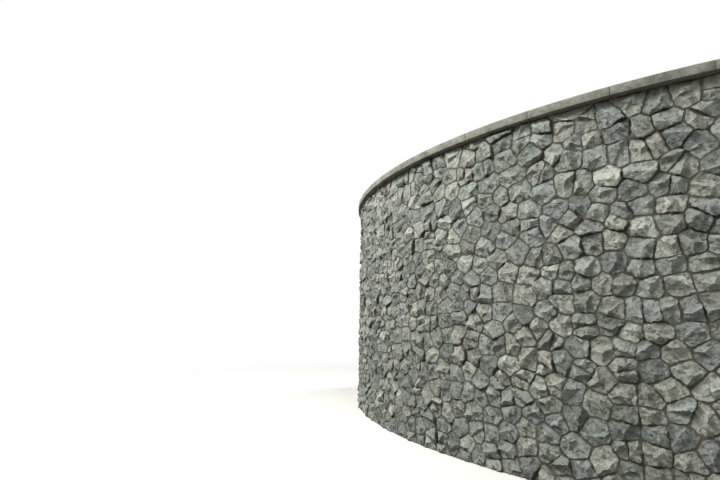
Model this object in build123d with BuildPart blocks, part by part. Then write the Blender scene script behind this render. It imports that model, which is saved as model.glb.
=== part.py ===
from build123d import *

import math
import os

# A curved gravity retaining wall of polygonal rubble. Sizes are in millimetres.
# It bows towards -Y, stands on Z = 0 and is built of equal bays from -X to +X.

# Plan
face_radius = 6350  # centre of the curve to the face stones at the ground
bay_count = 6
bay_length = 1574  # along the face

# Section
wall_height = 3600  # ground to the front edge of the capping
face_batter = 1 / 60  # lean of the face into the bank for each unit of height
base_thickness = 1250
top_thickness = 550

# Bond: the wall rises in lifts, and long and short stones take turns from lift to lift
lift_height = 440
header_tail = 320  # long face stones, front to back
stretcher_tail = 190  # short face stones
toothing = 180  # reach of a bay's long lifts past its short ones, along the face

# Capping stones
stones_per_bay = 2
capping_thickness = 90
capping_overhang = 35
capping_fall = 15  # front edge to rear edge
capping_arris = 8  # chamfer along the worn top edges
drip_width = 12
drip_depth = 7
drip_inset = 17  # edge of the capping to the middle of the drip

bay_angle = math.degrees(bay_length / face_radius)
tooth_angle = math.degrees(toothing / face_radius)
stone_angle = bay_angle / stones_per_bay
wall_angle = bay_count * bay_angle
masonry_top = wall_height - capping_thickness
lift_count = round(masonry_top / lift_height)


def face_at(height):
    """Radius of the face at a height."""
    return face_radius - face_batter * height


def rear_at(height):
    """Radius of the earth side at a height."""
    foot = face_at(0) - base_thickness
    head = face_at(masonry_top) - top_thickness
    return foot + (head - foot) * height / masonry_top


# The origin is the middle of the footprint's box, in front of the centre of the curve.
rear_corner = rear_at(0) * math.cos(math.radians(wall_angle / 2))
curve_centre = (face_at(0) + rear_corner) / 2
curve_axis = Axis((0, curve_centre, 0), (0, 0, 1))


def section_plane(angle):
    """Upright plane through the curve's axis. Its X is the radius, and angle 0 faces -Y."""
    turn = math.radians(angle)
    return Plane(
        origin=(0, curve_centre, 0),
        x_dir=(math.sin(turn), -math.cos(turn), 0),
        z_dir=(-math.cos(turn), -math.sin(turn), 0),
    )


def line_angle(line, lift, tooth):
    """Angle of the line between two bays in one lift: toothed, but plain at the wall's two ends."""
    middle = line * bay_angle - wall_angle / 2
    if line in (0, bay_count):
        return middle
    return middle + (tooth / 2 if lift % 2 else -tooth / 2)


def lift_span(lift):
    """Lower and upper height of a lift."""
    return masonry_top * lift / lift_count, masonry_top * (lift + 1) / lift_count


def bond_at(lift):
    """Radius where the face stones of a lift end and the core begins."""
    low, high = lift_span(lift)
    tail = stretcher_tail if lift % 2 else header_tail
    return face_at((low + high) / 2) - tail


def face_lift(lift):
    """Section of the face stones in one lift."""
    low, high = lift_span(lift)
    bond = bond_at(lift)
    return [(bond, low), (face_at(low), low), (face_at(high), high), (bond, high)]


def core_lift(lift):
    """Section of the core and the rear stones in one lift."""
    low, high = lift_span(lift)
    bond = bond_at(lift)
    return [(rear_at(low), low), (bond, low), (bond, high), (rear_at(high), high)]


def masonry(bay, lift_section, tooth):
    """One bay, turned lift by lift about the curve's axis."""
    with BuildPart() as piece:
        for lift in range(lift_count):
            start = line_angle(bay, lift, tooth)
            end = line_angle(bay + 1, lift, tooth)
            with BuildSketch(section_plane(start)):
                with BuildLine():
                    Polyline(*lift_section(lift), close=True)
                make_face()
            revolve(axis=curve_axis, revolution_arc=end - start)
    return piece


def capping_stone(start):
    """Weathered stone with chamfered arrises and a drip under each overhang."""
    front = face_at(masonry_top) + capping_overhang
    rear = rear_at(masonry_top) - capping_overhang
    with BuildPart() as piece:
        with BuildSketch(section_plane(start)) as section:
            with BuildLine():
                Polyline(
                    (front, masonry_top),
                    (front, wall_height),
                    (rear, wall_height - capping_fall),
                    (rear, masonry_top),
                    close=True,
                )
            make_face()
            chamfer(section.vertices().sort_by(Axis.Y)[-2:], length=capping_arris)
            with Locations((front - drip_inset, masonry_top), (rear + drip_inset, masonry_top)):
                Rectangle(drip_width, 2 * drip_depth, mode=Mode.SUBTRACT)
        revolve(axis=curve_axis, revolution_arc=stone_angle)
    return piece


def write(piece, label):
    """Names a piece and writes it as its own file."""
    piece.part.label = label
    export_step(piece.part, f"parts/{label}.step")


os.makedirs("parts", exist_ok=True)

for bay in range(bay_count):
    write(masonry(bay, face_lift, tooth_angle), f"face_stones_bay_{bay + 1}")
    write(masonry(bay, core_lift, -tooth_angle), f"rubble_core_bay_{bay + 1}")

for stone in range(bay_count * stones_per_bay):
    left = stone * stone_angle - wall_angle / 2
    write(capping_stone(left), f"capping_stone_{stone + 1:02d}")
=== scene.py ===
import math
import random

import bpy
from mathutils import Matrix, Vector, noise
from mathutils.geometry import delaunay_2d_cdt


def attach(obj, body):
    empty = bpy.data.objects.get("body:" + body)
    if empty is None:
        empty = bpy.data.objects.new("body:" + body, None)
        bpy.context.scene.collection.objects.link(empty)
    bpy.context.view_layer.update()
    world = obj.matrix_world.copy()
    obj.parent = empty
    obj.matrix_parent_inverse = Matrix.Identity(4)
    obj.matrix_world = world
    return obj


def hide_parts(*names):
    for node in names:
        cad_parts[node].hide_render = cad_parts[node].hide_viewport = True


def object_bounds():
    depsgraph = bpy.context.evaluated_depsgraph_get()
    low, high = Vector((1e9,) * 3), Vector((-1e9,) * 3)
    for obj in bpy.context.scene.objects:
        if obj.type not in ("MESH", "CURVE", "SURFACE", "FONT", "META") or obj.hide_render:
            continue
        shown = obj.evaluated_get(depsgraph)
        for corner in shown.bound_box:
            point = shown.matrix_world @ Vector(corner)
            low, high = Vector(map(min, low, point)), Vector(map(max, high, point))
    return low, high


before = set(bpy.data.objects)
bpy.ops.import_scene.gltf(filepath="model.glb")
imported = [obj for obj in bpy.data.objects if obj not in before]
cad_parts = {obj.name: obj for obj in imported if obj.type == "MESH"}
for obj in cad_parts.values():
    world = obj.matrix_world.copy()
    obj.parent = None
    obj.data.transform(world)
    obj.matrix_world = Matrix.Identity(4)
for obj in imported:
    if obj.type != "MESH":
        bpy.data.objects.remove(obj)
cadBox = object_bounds()

# The wall's own sizes, in metres, as the part has them. The curve's centre is read from the frame.
wall = dict(
    faceRadius=6.350,
    bays=6,
    bayLength=1.574,
    baseThickness=1.250,
    topThickness=0.550,
    batter=1 / 60,
    height=3.600,
)
capping = dict(
    perBay=2,
    thickness=0.090,
    overhang=0.035,
    fall=0.015,
    arris=0.008,
    dripWidth=0.012,
    dripDepth=0.007,
    dripInset=0.017,
    joint=0.006,
    pointing=0.004,  # the filling of a joint stops this far inside the stones' faces
    lap=0.1,  # and laps into each stone by this share of the joint
    wear=0.004,
    clear=0.0003,
    steps=14,
    smooth=math.radians(35),
)
masonryTop = wall["height"] - capping["thickness"]
endAngle = wall["bays"] * wall["bayLength"] / wall["faceRadius"] / 2
bayAngle = 2 * endAngle / wall["bays"]
centreY = cadBox[0].y + wall["faceRadius"]


def faceAt(z):
    return wall["faceRadius"] - wall["batter"] * z


def rearAt(z):
    foot = faceAt(0) - wall["baseThickness"]
    head = faceAt(masonryTop) - wall["topThickness"]
    return foot + (head - foot) * z / masonryTop


def onCurve(radius, angle, z):
    return (radius * math.sin(angle), centreY - radius * math.cos(angle), z)


def between(value, low, high):
    return max(low, min(high, value))


def deselectAll():
    if bpy.context.object and bpy.context.object.mode != "OBJECT":
        bpy.ops.object.mode_set(mode="OBJECT")
    bpy.ops.object.select_all(action="DESELECT")


def selectOnly(piece):
    deselectAll()
    piece.select_set(True)
    bpy.context.view_layer.objects.active = piece


def trianglesOf(piece):
    return sum(len(face.vertices) - 2 for face in piece.data.polygons)


# Materials

def linearColour(hexText):
    parts = [int(hexText[i:i + 2], 16) / 255 for i in (0, 2, 4)]
    return (*[c / 12.92 if c <= 0.04045 else ((c + 0.055) / 1.055) ** 2.4 for c in parts], 1.0)


# Adds a node, sets it up and links it: an input is a number, a colour or another node's output
def addNode(tree, kind, inputs=None, **settings):
    made = tree.nodes.new(kind)
    for key, value in settings.items():
        setattr(made, key, value)
    for key, value in (inputs or {}).items():
        if isinstance(value, bpy.types.NodeSocket):
            tree.links.new(value, made.inputs[key])
        else:
            made.inputs[key].default_value = value
    return made


def newMaterial(name):
    material = bpy.data.materials.new(name)
    material.use_nodes = True
    material.node_tree.nodes.clear()
    return material, material.node_tree


def setRamp(ramp, stops, interpolation="LINEAR"):
    ramp.color_ramp.interpolation = interpolation
    elements = ramp.color_ramp.elements
    while len(elements) > 1:
        elements.remove(elements[-1])
    for i, (place, colour) in enumerate(stops):
        element = elements[0] if i == 0 else elements.new(place)
        element.position = place
        element.color = linearColour(colour) if isinstance(colour, str) else colour


def grey(value):
    return (value, value, value, 1)


# A pattern's scale, from the real size of its marks in millimetres
def scaleOf(size):
    return 1000 / size


# Marks are in millimetres, relief is in metres. Real sand is finer: here and below it is drawn coarse enough
# to show.
quarryStone = dict(
    greys=[(0.0, "666b65"), (0.10, "70736b"), (0.24, "737873"), (0.42, "7a7e75"), (0.57, "7b807a"),
           (0.70, "818278"), (0.80, "87887e"), (0.90, "8b8f84"), (0.97, "94978d")],
    lichen="b4b7a8", ridgeWearAndHighlight="b0b2a8", sideDarkening="45433a",
    lichenShare=0.45, ridgeWearAndHighlightShare=0.44, sideDarkeningShare=0.85,
    cloud=90, grit=14, bed=9, patch=42, shove=33, breaks=33, lump=29, sand=5,
    breakTilt=0.9, lumpRelief=0.016, bedRelief=0.004, sandRelief=0.002,
    apart=(13.0, 7.0, 17.0), bedTurn=40.0, bedDraw=(0.2, 0.2, 1.0), shoveReach=(0.03, 0.03, 0.03),
)
quarryRubble = dict(quarryStone, grit=17, breaks=42, lumpRelief=0.022)


def stoneMaterial(name, look):
    # Quarry-split stone: matt and mineral, each stone of its own grey, its split faces weathered apart
    material, tree = newMaterial(name)
    tint = addNode(tree, "ShaderNodeAttribute", attribute_name="tint").outputs["Fac"]
    facet = addNode(tree, "ShaderNodeAttribute", attribute_name="facet").outputs["Fac"]
    arris = addNode(tree, "ShaderNodeAttribute", attribute_name="arris").outputs["Fac"]
    ridge = addNode(tree, "ShaderNodeAttribute", attribute_name="ridge").outputs["Fac"]

    # A stone's tint also moves it to its own piece of every pattern
    whole = addNode(tree, "ShaderNodeTexCoord").outputs["Object"]
    away = addNode(tree, "ShaderNodeVectorMath", {0: look["apart"], "Scale": tint}, operation="SCALE")
    place = addNode(tree, "ShaderNodeVectorMath", {0: whole, 1: away.outputs[0]},
                    operation="ADD").outputs[0]

    body = addNode(tree, "ShaderNodeValToRGB", {"Fac": tint})
    setRamp(body, look["greys"], "CONSTANT")

    # Clouds, then grain, light and dark
    clouds = addNode(tree, "ShaderNodeTexNoise",
                     {"Vector": place, "Scale": scaleOf(look["cloud"]), "Detail": 5.0, "Roughness": 0.62})
    cloudRamp = addNode(tree, "ShaderNodeValToRGB", {"Fac": clouds.outputs["Fac"]})
    setRamp(cloudRamp, [(0.32, (0.88, 0.89, 0.89, 1)), (0.5, grey(1.0)), (0.68, (1.12, 1.12, 1.09, 1))])
    clouded = addNode(tree, "ShaderNodeMix",
                      {"Factor": 1.0, 6: body.outputs["Color"], 7: cloudRamp.outputs["Color"]},
                      data_type="RGBA", blend_type="MULTIPLY")
    grit = addNode(tree, "ShaderNodeTexNoise",
                   {"Vector": place, "Scale": scaleOf(look["grit"]), "Detail": 5.0, "Roughness": 0.75})
    gritRamp = addNode(tree, "ShaderNodeValToRGB", {"Fac": grit.outputs["Fac"]})
    setRamp(gritRamp, [(0.32, grey(0.84)), (0.5, grey(1.0)), (0.68, grey(1.16))])
    grained = addNode(tree, "ShaderNodeMix",
                      {"Factor": 0.85, 6: clouded.outputs[2], 7: gritRamp.outputs["Color"]},
                      data_type="RGBA", blend_type="MULTIPLY")

    facetRamp = addNode(tree, "ShaderNodeValToRGB", {"Fac": facet})
    setRamp(facetRamp, [(0.0, (0.84, 0.85, 0.86, 1)), (0.5, grey(0.99)), (1.0, (1.15, 1.15, 1.12, 1))])
    faceted = addNode(tree, "ShaderNodeMix",
                      {"Factor": 1.0, 6: grained.outputs[2], 7: facetRamp.outputs["Color"]},
                      data_type="RGBA", blend_type="MULTIPLY")

    # Bedding: fine layers that run each stone's own way
    turn = addNode(tree, "ShaderNodeMath", {0: tint, 1: look["bedTurn"]}, operation="MULTIPLY")
    turned = addNode(tree, "ShaderNodeVectorRotate", {"Vector": place, "Angle": turn.outputs[0]},
                     rotation_type="Y_AXIS")
    drawn = addNode(tree, "ShaderNodeVectorMath", {0: turned.outputs[0], 1: look["bedDraw"]},
                    operation="MULTIPLY")
    beds = addNode(tree, "ShaderNodeTexNoise",
                   {"Vector": drawn.outputs[0], "Scale": scaleOf(look["bed"]), "Detail": 3.0,
                    "Roughness": 0.6})
    bedRamp = addNode(tree, "ShaderNodeValToRGB", {"Fac": beds.outputs["Fac"]})
    setRamp(bedRamp, [(0.34, grey(0.88)), (0.5, grey(1.0)), (0.66, grey(1.10))])
    bedded = addNode(tree, "ShaderNodeMix",
                     {"Factor": 0.8, 6: faceted.outputs[2], 7: bedRamp.outputs["Color"]},
                     data_type="RGBA", blend_type="MULTIPLY")

    # Pale lichen in patches; ridges made pale in patches, partly as wear and partly as a painted highlight;
    # and darker patches round the arrises and down the stones' sides into the joints
    patches = addNode(tree, "ShaderNodeTexNoise",
                      {"Vector": place, "Scale": scaleOf(look["patch"]), "Detail": 7.0, "Roughness": 0.68})
    lichen = addNode(tree, "ShaderNodeMapRange",
                     {"Value": patches.outputs["Fac"], "From Min": 0.58, "From Max": 0.72,
                      "To Max": look["lichenShare"]})
    licheny = addNode(tree, "ShaderNodeMix",
                      {"Factor": lichen.outputs[0], 6: bedded.outputs[2], 7: linearColour(look["lichen"])},
                      data_type="RGBA")
    # Ridges between facets made paler in patches: worn edges, and a painted highlight where the edges catch
    # the light
    ridgeWearAndHighlightMask = addNode(tree, "ShaderNodeMath", {0: ridge, 1: patches.outputs["Fac"]}, operation="MULTIPLY")
    ridgeWearAndHighlightAmount = addNode(tree, "ShaderNodeMapRange",
                       {"Value": ridgeWearAndHighlightMask.outputs[0], "From Min": 0.22, "From Max": 0.55,
                        "To Max": look["ridgeWearAndHighlightShare"]})
    ridgeWearAndHighlight = addNode(tree, "ShaderNodeMix",
                     {"Factor": ridgeWearAndHighlightAmount.outputs[0], 6: licheny.outputs[2], 7: linearColour(look["ridgeWearAndHighlight"])},
                     data_type="RGBA")
    # Darker in patches round each stone's arris and down its sides into the joints
    patchShare = addNode(tree, "ShaderNodeMath", {0: patches.outputs["Fac"], 1: 0.6}, operation="MULTIPLY")
    hollows = addNode(tree, "ShaderNodeMath", {0: arris, 1: patchShare.outputs[0]}, operation="ADD")
    sideDarkening = addNode(tree, "ShaderNodeMapRange",
                   {"Value": hollows.outputs[0], "From Min": 0.70, "From Max": 1.20,
                    "To Max": look["sideDarkeningShare"]})
    sideDarkened = addNode(tree, "ShaderNodeMix",
                    {"Factor": sideDarkening.outputs[0], 6: ridgeWearAndHighlight.outputs[2], 7: linearColour(look["sideDarkening"])},
                    data_type="RGBA")

    # Split relief: small breaks, each a plane with a tilt of its own, soft lumps, the beds, then sand
    shove = addNode(tree, "ShaderNodeTexNoise",
                    {"Vector": place, "Scale": scaleOf(look["shove"]), "Detail": 2.0, "Roughness": 0.5})
    shoved = addNode(tree, "ShaderNodeVectorMath", {0: shove.outputs["Color"], 1: (0.5, 0.5, 0.5)},
                     operation="SUBTRACT")
    moved = addNode(tree, "ShaderNodeVectorMath", {0: shoved.outputs[0], 1: look["shoveReach"], 2: place},
                    operation="MULTIPLY_ADD")
    breaks = addNode(tree, "ShaderNodeTexVoronoi",
                     {"Vector": moved.outputs[0], "Scale": scaleOf(look["breaks"]), "Randomness": 1.0})
    fromMiddle = addNode(tree, "ShaderNodeVectorMath", {0: moved.outputs[0], 1: breaks.outputs["Position"]},
                         operation="SUBTRACT")
    tilt = addNode(tree, "ShaderNodeVectorMath", {0: breaks.outputs["Color"], 1: (0.5, 0.5, 0.5)},
                   operation="SUBTRACT")
    planes = addNode(tree, "ShaderNodeVectorMath", {0: fromMiddle.outputs[0], 1: tilt.outputs[0]},
                     operation="DOT_PRODUCT")
    broken = addNode(tree, "ShaderNodeBump",
                     {"Strength": 1.0, "Distance": look["breakTilt"], "Height": planes.outputs["Value"]})
    lumps = addNode(tree, "ShaderNodeTexNoise",
                    {"Vector": place, "Scale": scaleOf(look["lump"]), "Detail": 4.0, "Roughness": 0.52})
    lumpy = addNode(tree, "ShaderNodeBump",
                    {"Strength": 1.0, "Distance": look["lumpRelief"], "Height": lumps.outputs["Fac"],
                     "Normal": broken.outputs[0]})
    layered = addNode(tree, "ShaderNodeBump",
                      {"Strength": 1.0, "Distance": look["bedRelief"], "Height": beds.outputs["Fac"],
                       "Normal": lumpy.outputs[0]})
    sand = addNode(tree, "ShaderNodeTexNoise",
                   {"Vector": place, "Scale": scaleOf(look["sand"]), "Detail": 2.0, "Roughness": 0.5})
    sandy = addNode(tree, "ShaderNodeBump",
                    {"Strength": 1.0, "Distance": look["sandRelief"], "Height": sand.outputs["Fac"],
                     "Normal": layered.outputs[0]})
    shader = addNode(tree, "ShaderNodeBsdfPrincipled",
                     {"Base Color": sideDarkened.outputs[2], "Roughness": 0.88, "IOR": 1.5,
                      "Specular IOR Level": 0.3, "Normal": sandy.outputs[0]})
    addNode(tree, "ShaderNodeOutputMaterial", {"Surface": shader.outputs[0]})
    return material


limeMortar = dict(
    shades=[(0.32, "32312a"), (0.50, "48463c"), (0.62, "5c594c"), (0.76, "757162")],
    cloud=200, sand=4, sandRelief=0.004,
)


def mortarMaterial(name, look):
    # Lime and cement mortar, raked back: sandy, gone dark and dirty in its joints
    material, tree = newMaterial(name)
    place = addNode(tree, "ShaderNodeTexCoord").outputs["Object"]
    clouds = addNode(tree, "ShaderNodeTexNoise",
                     {"Vector": place, "Scale": scaleOf(look["cloud"]), "Detail": 8.0, "Roughness": 0.66})
    ramp = addNode(tree, "ShaderNodeValToRGB", {"Fac": clouds.outputs["Fac"]})
    setRamp(ramp, look["shades"])
    sand = addNode(tree, "ShaderNodeTexNoise",
                   {"Vector": place, "Scale": scaleOf(look["sand"]), "Detail": 3.0, "Roughness": 0.7})
    bump = addNode(tree, "ShaderNodeBump",
                   {"Strength": 0.7, "Distance": look["sandRelief"], "Height": sand.outputs["Fac"]})
    shader = addNode(tree, "ShaderNodeBsdfPrincipled",
                     {"Base Color": ramp.outputs["Color"], "Roughness": 0.95, "Specular IOR Level": 0.2,
                      "Normal": bump.outputs[0]})
    addNode(tree, "ShaderNodeOutputMaterial", {"Surface": shader.outputs[0]})
    return material


castCapping = dict(
    shades=[(0.30, "474840"), (0.43, "66665c"), (0.56, "7c7b71"), (0.74, "929085")],
    stain="3f4139", cloud=200, speck=38, pit=7, sand=5, sandRelief=0.004,
)


def cappingMaterial(name, look):
    # Cast stone: sandy, even, with fine pits drawn as spots of painted shade, stained dark by the weather
    material, tree = newMaterial(name)
    place = addNode(tree, "ShaderNodeTexCoord").outputs["Object"]
    clouds = addNode(tree, "ShaderNodeTexNoise",
                     {"Vector": place, "Scale": scaleOf(look["cloud"]), "Detail": 9.0, "Roughness": 0.74,
                      "Distortion": 0.8})
    ramp = addNode(tree, "ShaderNodeValToRGB", {"Fac": clouds.outputs["Fac"]})
    setRamp(ramp, look["shades"])
    specks = addNode(tree, "ShaderNodeTexNoise",
                     {"Vector": place, "Scale": scaleOf(look["speck"]), "Detail": 8.0, "Roughness": 0.78})
    speckShare = addNode(tree, "ShaderNodeMapRange",
                         {"Value": specks.outputs["Fac"], "From Min": 0.52, "From Max": 0.66, "To Max": 0.7})
    stained = addNode(tree, "ShaderNodeMix",
                      {"Factor": speckShare.outputs[0], 6: ramp.outputs["Color"],
                       7: linearColour(look["stain"])},
                      data_type="RGBA")
    # Pits as painted shade: darker spots, with no hollows in the surface
    pits = addNode(tree, "ShaderNodeTexVoronoi",
                   {"Vector": place, "Scale": scaleOf(look["pit"]), "Randomness": 1.0})
    pitShade = addNode(tree, "ShaderNodeMapRange",
                       {"Value": pits.outputs["Distance"], "From Min": 0.05, "From Max": 0.35,
                        "To Min": 0.55, "To Max": 1.0})
    pitted = addNode(tree, "ShaderNodeMix",
                     {"Factor": 0.4, 6: stained.outputs[2], 7: pitShade.outputs[0]},
                     data_type="RGBA", blend_type="MULTIPLY")
    sand = addNode(tree, "ShaderNodeTexNoise",
                   {"Vector": place, "Scale": scaleOf(look["sand"]), "Detail": 4.0, "Roughness": 0.7})
    bump = addNode(tree, "ShaderNodeBump",
                   {"Strength": 0.5, "Distance": look["sandRelief"], "Height": sand.outputs["Fac"]})
    shader = addNode(tree, "ShaderNodeBsdfPrincipled",
                     {"Base Color": pitted.outputs[2], "Roughness": 0.9, "Specular IOR Level": 0.3,
                      "Normal": bump.outputs[0]})
    addNode(tree, "ShaderNodeOutputMaterial", {"Surface": shader.outputs[0]})
    return material


faceStone = stoneMaterial("rock-faced quarry stone", quarryStone)
rearStone = stoneMaterial("rough quarry rubble", quarryRubble)
jointMortar = mortarMaterial("aged lime mortar", limeMortar)
castStone = cappingMaterial("weathered cast stone", castCapping)
print("materials made")


# Setting out: rough groups of stones on a Voronoi pattern, each split along straight joints

shortest, smallest = 1e-6, 1e-9  # lengths and areas below these count as nothing
fewest = 5  # points around a stone
samePoint = 5000  # points in the same square of a grid with so many squares to the metre are one
weld, sliver = 1e-5, 1e-4  # points nearer than the first are joined, edges shorter than the second dissolved


# A place of its own in a noise pattern
def newDrift(rng):
    return rng.uniform(-50, 50)


def clipPolygon(points, nx, ny, limit):  # keeps the side where nx * x + ny * y is at most the limit
    kept = []
    for i, (x2, y2) in enumerate(points):
        x1, y1 = points[i - 1]
        before = nx * x1 + ny * y1 - limit
        after = nx * x2 + ny * y2 - limit
        if before * after < 0:
            share = before / (before - after)
            kept.append((x1 + (x2 - x1) * share, y1 + (y2 - y1) * share))
        if after <= 0:
            kept.append((x2, y2))
    return kept


def areaAndCentre(points):
    area = cx = cy = 0.0
    for i, (x2, y2) in enumerate(points):
        x1, y1 = points[i - 1]
        cross = x1 * y2 - x2 * y1
        area += cross / 2
        cx += (x1 + x2) * cross
        cy += (y1 + y2) * cross
    if abs(area) < smallest:
        return 0.0, points[0]
    return area, (cx / 6 / area, cy / 6 / area)


def nearGrid(seeds, pitch):
    grid = {}
    for i, (x, y) in enumerate(seeds):
        grid.setdefault((int(x // pitch), int(y // pitch)), []).append(i)
    return grid


def nearby(grid, x, y, pitch, reach):
    column, row = int(x // pitch), int(y // pitch)
    steps = range(-reach, reach + 1)
    return [i for a in steps for b in steps for i in grid.get((column + a, row + b), ())]


# Stones grow from one size to the next between two heights: (low, high, share of the size there)
def sizeAt(y, look):
    low, high, share = look["growth"]
    return look["size"] * (1 + (share - 1) * between((y - low) / (high - low), 0, 1))


# Points thrown at random over a box that keep apart from one another
def throwSeeds(left, right, foot, head, pitch, look, rng):
    seeds, grid, reach = [], {}, 2
    for _ in range(int(look["throws"] * (right - left) * (head - foot) / pitch ** 2)):
        x, y = rng.uniform(left, right), rng.uniform(foot, head)
        apart = sizeAt(y, look) * look["group"] * rng.uniform(*look["apart"])
        if all(math.hypot(seeds[i][0] - x, seeds[i][1] - y) > apart
               for i in nearby(grid, x, y, pitch, reach)):
            grid.setdefault((int(x // pitch), int(y // pitch)), []).append(len(seeds))
            seeds.append((x, y))
    return seeds


# Points in wavering courses, as higher up the stones are squarer and lie on rough beds
def courseSeeds(left, right, foot, head, look, rng):
    seeds, y, drift = [], foot, newDrift(rng)
    scale = look["waverScale"]
    while y < head:
        height = sizeAt(y, look) * rng.uniform(*look["courseHeight"])
        x = left - rng.uniform(0, 1) * look["size"]
        while x < right:
            width = sizeAt(y, look) * rng.uniform(*look["courseWidth"])
            waver = noise.noise(Vector((x * scale, y * scale, drift))) * look["waver"]
            seeds.append((x + width / 2, y + height * rng.uniform(*look["inCourse"]) + waver))
            x += width
        y += height
    return [(x, y) for x, y in seeds if left < x < right and y < head]


def cellsOf(seeds, domain, pitch):
    grid, reach = nearGrid(seeds, pitch), 4
    cells = []
    for i, (x, y) in enumerate(seeds):
        cell = list(domain)
        for j in nearby(grid, x, y, pitch, reach):
            if j != i and len(cell) > 2:
                x2, y2 = seeds[j]
                cell = clipPolygon(cell, 2 * (x2 - x), 2 * (y2 - y), x2 * x2 + y2 * y2 - x * x - y * y)
        cells.append(cell)
    return [cell for cell in cells if len(cell) > 2]


def compactness(cell):  # 1 for a circle, 0.79 for a square, 0.6 for a triangle
    around = sum(math.dist(cell[i - 1], point) for i, point in enumerate(cell))
    return 4 * math.pi * areaAndCentre(cell)[0] / max(around, shortest) ** 2


# Splits a group until each stone is small enough, by the trial joint that leaves the most compact stones
def splitCell(cell, look, rng):
    area, (cx, cy) = areaAndCentre(cell)
    if area < sizeAt(cy, look) ** 2 * rng.triangular(*look["splitOver"]):
        return [cell]
    best = None
    for _ in range(look["trials"]):
        turn = rng.choice((0, math.pi / 2)) + math.radians(rng.gauss(0, look["skew"]))
        nx, ny = math.cos(turn), math.sin(turn)
        limit = nx * cx + ny * cy + rng.uniform(-look["offCentre"], look["offCentre"]) * math.sqrt(area)
        halves = clipPolygon(cell, nx, ny, limit), clipPolygon(cell, -nx, -ny, -limit)
        score = min(compactness(half) for half in halves) + rng.uniform(0, look["whim"])
        if best is None or score > best[0]:
            best = score, halves
    return splitCell(best[1][0], look, rng) + splitCell(best[1][1], look, rng)


# Cells for a stretch of wall. A seam is a straight upright joint, with stones that stop at both its sides.
def setOutStones(domain, look, rng, seams=()):
    stretch, pitch = look["stretch"], look["size"] * look["group"]
    flat = [(x / stretch, y) for x, y in domain]
    left, right = min(x for x, _ in flat), max(x for x, _ in flat)
    foot, head = min(y for _, y in flat), max(y for _, y in flat)
    change = min(look["coursesFrom"], head)
    seeds = throwSeeds(left, right, foot, change, pitch, look, rng)
    courses = courseSeeds(left, right, change + look["size"] * look["firstBed"], head, look, rng)
    for _ in range(look["rounds"]):
        seeds = [areaAndCentre(cell)[1] for cell in cellsOf(seeds + courses, flat, pitch)[:len(seeds)]]
    seeds += courses
    for joint in seams:
        middle = joint["x"] / stretch
        seeds = [s for s in seeds if abs(s[0] - middle) > pitch * joint["clear"] or s[1] > joint["top"]]
        y = look["size"] * joint["first"]
        while y < joint["top"]:
            offset = look["size"] * rng.uniform(*joint["offset"])
            seeds += [(middle - offset, y), (middle + offset, y)]
            y += look["size"] * rng.uniform(*joint["rise"])
    cells = [stone for cell in cellsOf(seeds, flat, pitch) for stone in splitCell(cell, look, rng)]
    return [[(x * stretch, y) for x, y in cell] for cell in cells if len(cell) > 2]


def cutCorners(outline, cut, look, rng):
    rounded = []
    for i, (x, y) in enumerate(outline):
        reach = cut * rng.triangular(*look["bluntSpread"])
        for ox, oy in (outline[i - 1], outline[(i + 1) % len(outline)]):
            span = math.hypot(ox - x, oy - y)
            share = min(reach / span, look["bluntMost"]) if span > shortest else 0
            rounded.append((x + (ox - x) * share, y + (oy - y) * share))
    return rounded


# Points along a closed outline, about a step apart
def stepsAlong(outline, step):
    for i, (x2, y2) in enumerate(outline):
        x1, y1 = outline[i - 1]
        parts = max(1, round(math.hypot(x2 - x1, y2 - y1) / step))
        for k in range(parts):
            yield x1 + (x2 - x1) * k / parts, y1 + (y2 - y1) * k / parts


# A cell drawn in by half a joint along each side, with rounded corners and a broken, wavy outline
def jointed(cell, look, rng):
    outline = cell
    for i, (x2, y2) in enumerate(cell):
        x1, y1 = cell[i - 1]
        length = math.hypot(x2 - x1, y2 - y1)
        if length < shortest:
            continue
        nx, ny = (y2 - y1) / length, (x1 - x2) / length
        gap = look["joint"] / 2 * rng.triangular(*look["jointSpread"])
        outline = clipPolygon(outline, nx, ny, nx * x1 + ny * y1 - gap)
        if len(outline) < 3:
            return []
    outline = cutCorners(outline, look["blunt"], look, rng)
    outline = cutCorners(outline, look["blunt"] * look["bluntAgain"], look, rng)
    drift, wavy = newDrift(rng), []
    wave, chip = look["waveScale"], look["chipScale"]
    for x, y in stepsAlong(outline, look["step"]):
        shift = noise.noise_vector(Vector((x * wave, y * wave, drift))) * look["wave"]
        shift += noise.noise_vector(Vector((x * chip, y * chip, drift))) * look["chip"]
        wavy.append((x + shift.x, y + shift.y))
    return wavy


# The split faces of a stone as planes (height, slope x, slope y) about its centre. The lowest one shows.
def facetPlanes(outline, centre, look, rng):
    radius = sum(math.hypot(x - centre[0], y - centre[1]) for x, y in outline) / len(outline)
    crown = -rng.uniform(*look["crown"])
    apexX, apexY = (radius * rng.uniform(-look["apex"], look["apex"]) for _ in range(2))
    planes = []
    if rng.random() < look["flatTops"]:
        tilt, heading = math.tan(math.radians(rng.uniform(*look["tilt"]))), rng.uniform(0, math.tau)
        planes.append((crown - look["flatCut"] * radius, tilt * math.cos(heading), tilt * math.sin(heading)))
    count = rng.choice(look["facets"])
    turn = math.pi / 2 + rng.gauss(0, look["upward"])  # the first facet mostly looks up
    for i in range(count):
        direction = turn + math.tau * (i + rng.uniform(-look["uneven"], look["uneven"])) / count
        dx, dy = math.cos(direction), math.sin(direction)
        slope = math.tan(math.radians(rng.triangular(*look["slope"])))
        planes.append((crown + slope * (apexX * dx + apexY * dy), -slope * dx, -slope * dy))
    return planes


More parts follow.
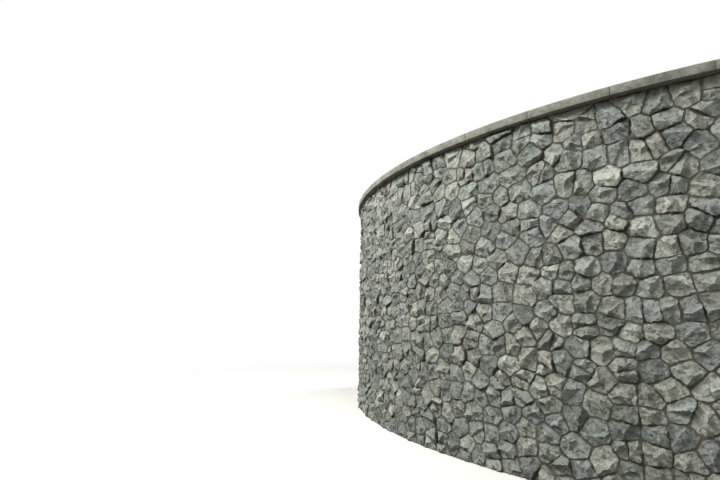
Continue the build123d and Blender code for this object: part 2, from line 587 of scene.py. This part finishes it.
# The facets' borders in short steps, as points and pairs of points
def facetEdges(outline, planes, centre, step):
    cx, cy = centre
    points, index, edges = [], {}, set()
    for number, (h, gx, gy) in enumerate(planes):
        region = outline
        for other, (h2, gx2, gy2) in enumerate(planes):
            if other != number and len(region) > 2:
                limit = h2 - h + (gx - gx2) * cx + (gy - gy2) * cy
                region = clipPolygon(region, gx - gx2, gy - gy2, limit)
        if len(region) < 3:
            continue
        loop = []
        for x, y in stepsAlong(region, step):
            key = (round(x * samePoint), round(y * samePoint))
            if key not in index:
                index[key] = len(points)
                points.append(Vector((x, y)))
            loop.append(index[key])
        for a, b in zip(loop, loop[1:] + loop[:1]):
            if a != b:
                edges.add((min(a, b), max(a, b)))
    return points, sorted(edges)


# The points around a sheet of triangles, in order, or None where it has no single border
def outerLoop(faces):
    once = {}
    for face in faces:
        for a, b in zip(face, face[1:] + face[:1]):
            if (b, a) in once:
                del once[(b, a)]
            else:
                once[(a, b)] = True
    follow = {a: b for a, b in once}
    if len(follow) < fewest or len(follow) != len(once):
        return None
    edge = [next(iter(follow))]
    while follow[edge[-1]] != edge[0] and len(edge) < len(follow):
        edge.append(follow[edge[-1]])
    return edge if len(edge) == len(follow) else None


# One stone: points (x, y, depth), each with an arris and a ridge value, and faces, each with its facet's tone
def shapeStone(cell, look, rng, deep=False):
    outline = jointed(cell, look, rng)
    if len(outline) < fewest:
        return None
    area, (cx, cy) = areaAndCentre(outline)
    if area < look["smallestArea"]:
        return None
    arris, step = look["arris"], look["step"]
    inner = []
    for x, y in outline:
        share = 1 - min(arris / math.hypot(x - cx, y - cy), look["arrisMost"])
        inner.append((cx + (x - cx) * share, cy + (y - cy) * share))
    planes = facetPlanes(inner, (cx, cy), look, rng)
    facetTone = [rng.random() for _ in planes]
    drift = newDrift(rng)

    def planeDepths(x, y):
        return [-(h + gx * (x - cx) + gy * (y - cy)) for h, gx, gy in planes]

    def depthAt(x, y):
        rough = noise.fractal(Vector((x, y, drift)) * look["roughScale"], *look["roughShape"]) * look["rough"]
        return between(max(planeDepths(x, y)) + rough, look["shallowest"], look["deepest"])

    def ridgeAt(x, y):  # 1 on a sharp ridge between two facets, less on a shallow one
        (second, b), (first, a) = sorted((depth, i) for i, depth in enumerate(planeDepths(x, y)))[-2:]
        bend = math.dist(planes[a][1:], planes[b][1:])
        return between(1 - (first - second) / look["ridge"], 0, 1) * min(bend / look["sharp"], 1)

    # Points in scattered rows inside the arris, joined with the facets' borders
    border, edges = facetEdges(inner, planes, (cx, cy), step)
    rows, scatter = int(look["widest"] / step), look["scatter"]
    inside = -look["clearOfArris"] * step
    for row in range(-rows, rows + 1):
        for column in range(-rows, rows + 1):
            x = cx + (column + 0.5 * (row % 2) + rng.uniform(-scatter, scatter)) * step
            y = cy + (row * look["rowPitch"] + rng.uniform(-scatter, scatter)) * step
            if all((y2 - y1) * (x - x1) - (x2 - x1) * (y - y1) < inside * math.hypot(x2 - x1, y2 - y1)
                   for (x1, y1), (x2, y2) in zip(inner, inner[1:] + inner[:1])):
                border.append(Vector((x, y)))
    flat, _, triangles, *_ = delaunay_2d_cdt(border, edges, [], 1, weld)
    points, ridgeOf, scale = [], [], look["shiftScale"]
    for p in flat:
        shift = noise.noise_vector(Vector((p.x * scale, p.y * scale, drift))) * look["shift"]
        points.append((p.x + shift.x, p.y + shift.y, depthAt(p.x, p.y)))
        ridgeOf.append(ridgeAt(p.x, p.y))
    faces = [tuple(face) for face in triangles]
    facetOf = []
    for face in faces:
        mx, my = (sum(flat[k][axis] for k in face) / 3 for axis in (0, 1))
        depths = planeDepths(mx, my)
        facetOf.append(facetTone[depths.index(max(depths))])
    edge = outerLoop(faces)
    if edge is None:
        return None
    # How far the darker colour reaches each point: part of it on the rim, all of it down the sides
    arrisOf = [0.0] * len(points)
    for k in edge:
        arrisOf[k] = look["rimDarkening"]

    # Over the arris, then down the side into the mortar: (how far out, how deep, arris value)
    sides = [(arris, arris * look["roundOver"], 1.0), (arris * look["drawIn"], look["bed"], 1.0)]
    if deep:
        sides = sides[:1]
        sides += [(arris, look["deepBed"] * share, look["deepSideDarkening"]) for share in look["deepSteps"]]
    current = edge
    for outward, sink, value in sides:
        following = []
        for k in edge:
            x, y, depth = points[k]
            push = outward + noise.noise(Vector((x, y + drift, sink)) * look["wobbleScale"]) * look["wobble"]
            scale = 1 + push / math.hypot(x - cx, y - cy)
            lower = depth + sink if sink < 2 * arris else max(sink, depth + look["leastSide"])
            points.append((cx + (x - cx) * scale, cy + (y - cy) * scale, lower))
            arrisOf.append(value)
            ridgeOf.append(0.0)
            following.append(len(points) - 1)
        for k in range(len(edge)):
            k2 = (k + 1) % len(edge)
            faces.append((current[k2], current[k], following[k], following[k2]))
            facetOf.append(look["sideTone"])
        current = following
    faces.append(tuple(current[::-1]))
    facetOf.append(look["sideTone"])
    return dict(points=points, faces=faces, arris=arrisOf, ridge=ridgeOf, facet=facetOf)


# Joins stones, laid in space and each with a tint of its own, into one mesh
def buildStones(name, stones, material):
    points, faces = [], []
    values = dict(arris=[], ridge=[], tint=[], facet=[])
    for stone in stones:
        first = len(points)
        points += stone["points"]
        faces += [tuple(first + k for k in face) for face in stone["faces"]]
        values["tint"] += [stone["tint"]] * len(stone["points"])
        for label in ("arris", "ridge", "facet"):
            values[label] += stone[label]
    mesh = bpy.data.meshes.new(name)
    mesh.from_pydata(points, [], faces)
    for label in values:
        domain = "FACE" if label == "facet" else "POINT"
        mesh.attributes.new(label, "FLOAT", domain).data.foreach_set("value", values[label])
    mesh.materials.append(material)
    piece = bpy.data.objects.new(name, mesh)
    bpy.context.scene.collection.objects.link(piece)
    selectOnly(piece)
    bpy.ops.object.mode_set(mode="EDIT")
    bpy.ops.mesh.select_all(action="SELECT")
    bpy.ops.mesh.dissolve_degenerate(threshold=sliver)
    bpy.ops.mesh.select_all(action="SELECT")
    bpy.ops.mesh.normals_make_consistent(inside=False)
    bpy.ops.object.mode_set(mode="OBJECT")
    bpy.ops.object.shade_smooth_by_angle(angle=stoneSmooth)
    deselectAll()
    return piece


# What all the stones share, in metres and degrees. A value that varies is (least, most) or
# (least, most, likeliest).
stoneLook = dict(
    # Setting out: the points thrown, the courses, and the joints tried across a group
    throws=24, apart=(0.62, 1.0), group=1.2, rounds=1,
    courseHeight=(0.80, 1.15), courseWidth=(0.62, 1.62), inCourse=(0.22, 0.78), firstBed=0.25,
    waver=0.10, waverScale=1.7,
    splitOver=(1.0, 2.0, 1.6), trials=12, skew=26, offCentre=0.2, whim=0.06,
    # Outline
    jointSpread=(0.3, 2.1, 0.7), bluntSpread=(0.4, 2.0, 0.8), bluntMost=0.36, bluntAgain=0.4,
    waveScale=20, chipScale=55,
    # Split face
    crown=(0.001, 0.014), apex=0.45, tilt=(2, 16), flatCut=0.1, facets=(2, 3, 3, 4), upward=0.5, uneven=0.25,
    shallowest=0.001, deepest=0.044, ridge=0.006, sharp=0.9,
    roughShape=(0.8, 2.2, 4),  # smoothness, step from octave to octave, octaves
    # Mesh
    widest=0.3, scatter=0.3, rowPitch=0.87, clearOfArris=0.5, shiftScale=26,
    # Arris and sides
    arris=0.008, arrisMost=0.3, roundOver=0.9, drawIn=0.8, rimDarkening=0.5, sideTone=0.5,
    bed=0.078, leastSide=0.010, wobbleScale=38,
    deepBed=0.190, deepSteps=(0.3, 0.55, 0.8, 1.0), deepSideDarkening=0.6,
)
faceLook = dict(
    stoneLook, size=0.168, growth=(1.6, 2.6, 1.14), coursesFrom=1.12, stretch=1.07,
    joint=0.007, blunt=0.010, wave=0.007, chip=0.004, shift=0.009, flatTops=0.3,
    slope=(8, 56, 34), rough=0.010, roughScale=21, step=0.016, smallestArea=0.0012, wobble=0.005,
)
rearLook = dict(
    stoneLook, size=0.240, growth=(0, 1, 1), coursesFrom=4.0, stretch=1.2,
    joint=0.013, blunt=0.022, wave=0.010, chip=0.006, shift=0.012, flatTops=0.5,
    slope=(5, 45, 22), rough=0.014, roughScale=14, step=0.028, smallestArea=0.003, wobble=0.010,
)
endLook = dict(rearLook, size=0.215, stretch=1.1)
stoneSmooth = math.radians(30)
stoneGap = 0.004  # between the stones and the capping, and between the corner stones and the core
margin = faceLook["joint"] / 2
stoneTop = masonryTop - stoneGap

# The upright joint near the foot. The stones beside it are placed in shares of a stone's size.
seam = dict(
    x=math.radians(28.4) * wall["faceRadius"], top=0.98,
    clear=0.85, first=0.4, offset=(0.36, 0.6), rise=(0.8, 1.25),
)
warp = dict(reach=0.016, scale=5.0, slice=7.3, fade=0.10)
quoins = dict(
    near=0.01, swing=0.4, swingScale=2.6, swingSlice=3.1,
    back=0.006, rough=0.008, roughScale=14, roughSlice=1.7,
)


# Bends the straight joints a little, but neither at the edges of the stretch nor at the seam
def warped(x, y, halfWidth):
    fade = between(min(halfWidth - abs(x), y, stoneTop - y) / warp["fade"], 0, 1)
    if y < seam["top"] + warp["fade"]:
        fade = min(fade, between(abs(x - seam["x"]) / warp["fade"], 0, 1))
    shift = noise.noise_vector(Vector((x, y, warp["slice"])) * warp["scale"]) * warp["reach"] * fade
    return x + shift.x, y + shift.y


# The corner stones are longer and shorter by turns up the wall
def quoinDepth(z):
    swing = noise.noise(Vector((0, quoins["swingSlice"], z * quoins["swingScale"])))
    return faceLook["deepBed"] * (1 + quoins["swing"] * swing)


# Gives the function that lays a point (x, y, depth) of a stretch on the curved wall
def onFace(radiusAt, meanRadius, inward, halfWidth):
    def place(x, y, depth):
        x, y = warped(x, y, halfWidth)
        z = between(y, 0, masonryTop)
        if depth > faceLook["bed"]:
            depth *= quoinDepth(z) / faceLook["deepBed"]
        radius = radiusAt(z) - inward * max(depth, faceLook["shallowest"])
        rough = noise.noise(Vector((depth, z, quoins["roughSlice"])) * quoins["roughScale"])
        roughEnd = (quoins["back"] + quoins["rough"] * rough) / radius
        limit = endAngle - max(roughEnd, 0)
        return onCurve(radius, between(x / meanRadius, -limit, limit), z)
    return place


# The same for an end of the wall, where x is the radius between the corner stones of the face and the rear
def onEnd(side, tail):
    def place(x, y, depth):
        z = between(y, 0, masonryTop)
        share = between((x - rearAt(z) - tail) / (faceAt(z) - rearAt(z) - 2 * tail), 0, 1)
        radius = x + (quoinDepth(z) - faceLook["deepBed"]) * (1 - 2 * share)
        return onCurve(radius, side * (endAngle - max(depth, endLook["shallowest"]) / radius), z)
    return place


# Shapes the stones of a stretch and sorts them by bay
def layStones(cells, look, place, halfWidth, rng):
    bays = [[] for _ in range(wall["bays"])]
    for cell in cells:
        xs = [p[0] for p in cell]
        deep = max(xs) > halfWidth - quoins["near"] or min(xs) < -halfWidth + quoins["near"]
        stone = shapeStone(cell, look, rng, deep)
        tint = rng.random()
        if stone is None:
            continue
        middle = sum(xs) / len(xs)
        bay = between(int((middle / halfWidth + 1) / 2 * wall["bays"]), 0, wall["bays"] - 1)
        stone.update(points=[place(*point) for point in stone["points"]], tint=tint)
        bays[bay].append(stone)
    return bays


def rectangle(halfWidth):
    return [(-halfWidth, -margin), (halfWidth, -margin), (halfWidth, stoneTop), (-halfWidth, stoneTop)]


rng = random.Random(41)
noise.seed_set(41)  # noise_vector would otherwise start from the clock
rearRadius = (rearAt(0) + rearAt(masonryTop)) / 2
halfFront = endAngle * wall["faceRadius"]
halfRear = endAngle * rearRadius
frontCells = setOutStones(rectangle(halfFront + margin), faceLook, rng, [seam])
frontPlace = onFace(faceAt, wall["faceRadius"], 1, halfFront)
frontBays = layStones(frontCells, faceLook, frontPlace, halfFront, rng)
rearCells = setOutStones(rectangle(halfRear + margin), rearLook, rng)
rearPlace = onFace(rearAt, rearRadius, -1, halfRear)
rearBays = layStones(rearCells, rearLook, rearPlace, halfRear, rng)
print("front cells", len(frontCells), "stones", sum(len(bay) for bay in frontBays))
print("rear cells", len(rearCells), "stones", sum(len(bay) for bay in rearBays))

# The two ends show the core between the corner stones of the face and of the rear
tail = faceLook["deepBed"] + stoneGap
endShape = [(rearAt(0) + tail, -margin), (faceAt(0) - tail, -margin),
            (faceAt(stoneTop) - tail, stoneTop), (rearAt(stoneTop) + tail, stoneTop)]
for side, bay in ((-1, 0), (1, wall["bays"] - 1)):
    endPlace = onEnd(side, tail)
    for cell in setOutStones(endShape, endLook, rng):
        stone = shapeStone(cell, endLook, rng)
        if stone is not None:
            stone.update(points=[endPlace(*point) for point in stone["points"]], tint=rng.random())
            rearBays[bay].append(stone)
print("end stones laid")

triangles = 0
for bay in range(wall["bays"]):
    face = buildStones(f"faceStones{bay + 1}", frontBays[bay], faceStone)
    rear = buildStones(f"rearStones{bay + 1}", rearBays[bay], rearStone)
    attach(face, "root")
    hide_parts(f"face_stones_bay_{bay + 1}")
    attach(rear, "root")
    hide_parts(f"rubble_core_bay_{bay + 1}")
    triangles += trianglesOf(face) + trianglesOf(rear)
    print("bay", bay + 1, "face triangles", trianglesOf(face), "rear triangles", trianglesOf(rear))


# A closed section with corners (radius, z), turned about the curve's axis into a closed body
def spunSection(name, corners, startAngle, turn, steps):
    deselectAll()
    bpy.ops.mesh.primitive_circle_add(vertices=len(corners), radius=1, fill_type="NGON")
    piece = bpy.context.object
    piece.name = name
    piece.data.name = name
    for vertex, corner in zip(piece.data.vertices, corners):
        vertex.co = onCurve(corner[0], startAngle, corner[1])
    bpy.ops.object.mode_set(mode="EDIT")
    bpy.ops.mesh.select_all(action="SELECT")
    bpy.ops.mesh.spin(steps=steps, angle=-turn, center=(0, centreY, 0), axis=(0, 0, 1))
    bpy.ops.mesh.select_all(action="SELECT")
    bpy.ops.mesh.remove_doubles(threshold=weld)
    bpy.ops.mesh.normals_make_consistent(inside=False)
    bpy.ops.object.mode_set(mode="OBJECT")
    return piece


def roughen(piece, name, size, strength):
    texture = bpy.data.textures.new(name, "CLOUDS")
    texture.noise_scale = size
    texture.noise_depth = 3
    lumps = piece.modifiers.new(name, "DISPLACE")
    lumps.texture = texture
    lumps.texture_coords = "LOCAL"
    lumps.strength = strength
    selectOnly(piece)
    bpy.ops.object.modifier_apply(modifier=name)


# The mortar stops short of the wall's ends, and each bay's laps a little into the next bay's
mortarBody = dict(
    faceRecess=0.049, rearRecess=0.051, endRecess=0.050, lap=0.007, level=0.008,
    courses=78, steps=44, lumpSize=0.11, lumpRelief=0.012, smooth=math.radians(40),
)

for bay in range(wall["bays"]):
    low, high = mortarBody["level"], masonryTop - mortarBody["level"]
    before = mortarBody["lap"] if bay else -mortarBody["endRecess"]
    after = mortarBody["lap"] if bay < wall["bays"] - 1 else -mortarBody["endRecess"]
    start = -endAngle + bay * bayAngle - before / rearRadius
    turn = bayAngle + (before + after) / rearRadius
    heights = [low + (high - low) * k / mortarBody["courses"] for k in range(mortarBody["courses"] + 1)]
    outline = [(faceAt(z) - mortarBody["faceRecess"], z) for z in heights]
    outline += [(rearAt(z) + mortarBody["rearRecess"], z) for z in reversed(heights)]
    piece = spunSection(f"mortar{bay + 1}", outline, start, turn, mortarBody["steps"])
    roughen(piece, "mortarLumps", mortarBody["lumpSize"], mortarBody["lumpRelief"])
    piece.data.materials.append(jointMortar)
    bpy.ops.object.shade_smooth_by_angle(angle=mortarBody["smooth"])
    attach(piece, "root")
    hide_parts(f"face_stones_bay_{bay + 1}", f"rubble_core_bay_{bay + 1}")
    triangles += trianglesOf(piece)
print("mortar made, triangles so far", triangles)

# Capping stones: worn along their arrises, a thin joint between each two
cappingCount = wall["bays"] * capping["perBay"]
cappingAngle = bayAngle / capping["perBay"]
front = faceAt(masonryTop) + capping["overhang"]
rear = rearAt(masonryTop) - capping["overhang"]
top = wall["height"] - capping["clear"]
rearTop = top - capping["fall"]
gap = capping["joint"] / front


def drip(middle):
    half, roof = capping["dripWidth"] / 2, masonryTop + capping["dripDepth"]
    return [(middle - half, masonryTop), (middle - half, roof),
            (middle + half, roof), (middle + half, masonryTop)]


section = [(rear, masonryTop), *drip(rear + capping["dripInset"]), *drip(front - capping["dripInset"]),
           (front, masonryTop), (front, top - capping["arris"]), (front - capping["arris"], top),
           (rear + capping["arris"], rearTop), (rear, rearTop - capping["arris"])]
short = capping["pointing"]
jointFill = [(rear + short, masonryTop), (front - short, masonryTop),
             (front - short, top - short), (rear + short, rearTop - short)]
for number in range(cappingCount):
    start = -endAngle + number * cappingAngle + (gap / 2 if number else 0)
    turn = cappingAngle - (gap / 2 if number in (0, cappingCount - 1) else gap)
    if number:  # the joint before this stone
        fillStart, fillTurn = start - gap * (1 + capping["lap"]), gap * (1 + 2 * capping["lap"])
        fill = spunSection(f"cappingJoint{number:02d}", jointFill, fillStart, fillTurn, 1)
        fill.data.materials.append(jointMortar)
        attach(fill, "root")
        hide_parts(f"capping_stone_{number:02d}")
        triangles += trianglesOf(fill)
    piece = spunSection(f"cappingStone{number + 1:02d}", section, start, turn, capping["steps"])
    worn = piece.modifiers.new("wear", "BEVEL")
    worn.width = capping["wear"]
    worn.segments = 2
    worn.limit_method = "ANGLE"
    worn.angle_limit = capping["smooth"]
    selectOnly(piece)
    bpy.ops.object.modifier_apply(modifier="wear")
    bpy.ops.object.mode_set(mode="EDIT")
    bpy.ops.mesh.select_all(action="SELECT")
    bpy.ops.mesh.remove_doubles(threshold=sliver)
    bpy.ops.mesh.normals_make_consistent(inside=False)
    bpy.ops.object.mode_set(mode="OBJECT")
    piece.data.materials.append(castStone)
    bpy.ops.object.shade_smooth_by_angle(angle=capping["smooth"])
    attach(piece, "root")
    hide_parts(f"capping_stone_{number + 1:02d}")
    triangles += trianglesOf(piece)
print("capping made, triangles so far", triangles)

# Floor, light and camera
stage = dict(
    floorSize=80.0, floorColour="cac8c3", bounceColour="7c7b74", fadeFrom=5.5, fadeTo=11.0,
    worldColour="f2f4f6", worldLight=0.38,
)

deselectAll()
bpy.ops.mesh.primitive_plane_add(size=stage["floorSize"], location=(0, 0, -0.001))
floor = bpy.context.object
floor.name = "floor"
floorMaterial, tree = newMaterial("pale floor")
rays = addNode(tree, "ShaderNodeLightPath")
place = addNode(tree, "ShaderNodeTexCoord").outputs["Object"]
away = addNode(tree, "ShaderNodeVectorMath", {0: place}, operation="LENGTH")
fade = addNode(tree, "ShaderNodeMapRange",
               {"Value": away.outputs["Value"], "From Min": stage["fadeFrom"], "From Max": stage["fadeTo"]},
               interpolation_type="SMOOTHSTEP")
shown = addNode(tree, "ShaderNodeMath", {0: fade.outputs[0], 1: rays.outputs["Is Camera Ray"]},
                operation="MULTIPLY")
# Pale where it is seen, but the light that it sends back is that of a mid grey
pale = addNode(tree, "ShaderNodeMix",
               {"Factor": rays.outputs["Is Camera Ray"], 6: linearColour(stage["bounceColour"]),
                7: linearColour(stage["floorColour"])},
               data_type="RGBA")
matt = addNode(tree, "ShaderNodeBsdfDiffuse", {"Color": pale.outputs[2]})
white = addNode(tree, "ShaderNodeEmission", {"Color": (1, 1, 1, 1), "Strength": 1.0})
both = addNode(tree, "ShaderNodeMixShader", {0: shown.outputs[0], 1: matt.outputs[0], 2: white.outputs[0]})
addNode(tree, "ShaderNodeOutputMaterial", {"Surface": both.outputs[0]})
floor.data.materials.append(floorMaterial)

world = bpy.data.worlds.new("soft studio")
bpy.context.scene.world = world
world.use_nodes = True
tree = world.node_tree
tree.nodes.clear()
rays = addNode(tree, "ShaderNodeLightPath")
seen = addNode(tree, "ShaderNodeMath", {0: rays.outputs["Is Camera Ray"], 1: rays.outputs["Is Glossy Ray"]},
               operation="MAXIMUM")
seenToo = addNode(tree, "ShaderNodeMath", {0: seen.outputs[0], 1: rays.outputs["Is Transmission Ray"]},
                  operation="MAXIMUM")
soft = addNode(tree, "ShaderNodeBackground",
               {"Color": linearColour(stage["worldColour"]), "Strength": stage["worldLight"]})
white = addNode(tree, "ShaderNodeBackground", {"Color": (1, 1, 1, 1), "Strength": 1.0})
both = addNode(tree, "ShaderNodeMixShader",
               {0: seenToo.outputs[0], 1: soft.outputs[0], 2: white.outputs[0]})
addNode(tree, "ShaderNodeOutputWorld", {"Surface": both.outputs[0]})

lamps = dict(
    key=dict(place=(-0.6, -8.2, 10.0), aim=(1.4, -0.6, 1.5), size=3.6, power=2380),
    side=dict(place=(11.0, -3.0, 8.5), aim=(3.4, 0.5, 1.6), size=5.0, power=430),
    otherSide=dict(place=(-11.0, -3.0, 8.5), aim=(-3.4, 0.5, 1.6), size=5.0, power=430),
    rear=dict(place=(-3.0, 10.0, 10.0), aim=(0.0, 0.5, 1.5), size=6.0, power=1500),
)
for name, lamp in lamps.items():
    data = bpy.data.lights.new(name, "AREA")
    data.shape = "SQUARE"
    data.size = lamp["size"]
    data.energy = lamp["power"]
    light = bpy.data.objects.new(name, data)
    light.location = lamp["place"]
    beam = Vector(lamp["aim"]) - Vector(lamp["place"])
    light.rotation_euler = beam.to_track_quat("-Z", "Y").to_euler()
    bpy.context.scene.collection.objects.link(light)

# The photograph's view: at eye height, along the bowed face, tilted up a little
view = dict(fromCentre=(5.956, -9.234), eye=1.5, heading=(-0.9259, 0.3778), tilt=9.23, lens=24.0)
cameraData = bpy.data.cameras.new("camera")
cameraData.lens = view["lens"]
cameraData.sensor_width = 36.0
camera = bpy.data.objects.new("camera", cameraData)
camera.location = (view["fromCentre"][0], centreY + view["fromCentre"][1], view["eye"])
aim = Vector((*view["heading"], math.tan(math.radians(view["tilt"]))))
camera.rotation_euler = aim.to_track_quat("-Z", "Y").to_euler()
bpy.context.scene.collection.objects.link(camera)
bpy.context.scene.camera = camera
bpy.context.scene.view_settings.view_transform = "Standard"

print("done, triangles in all", triangles)
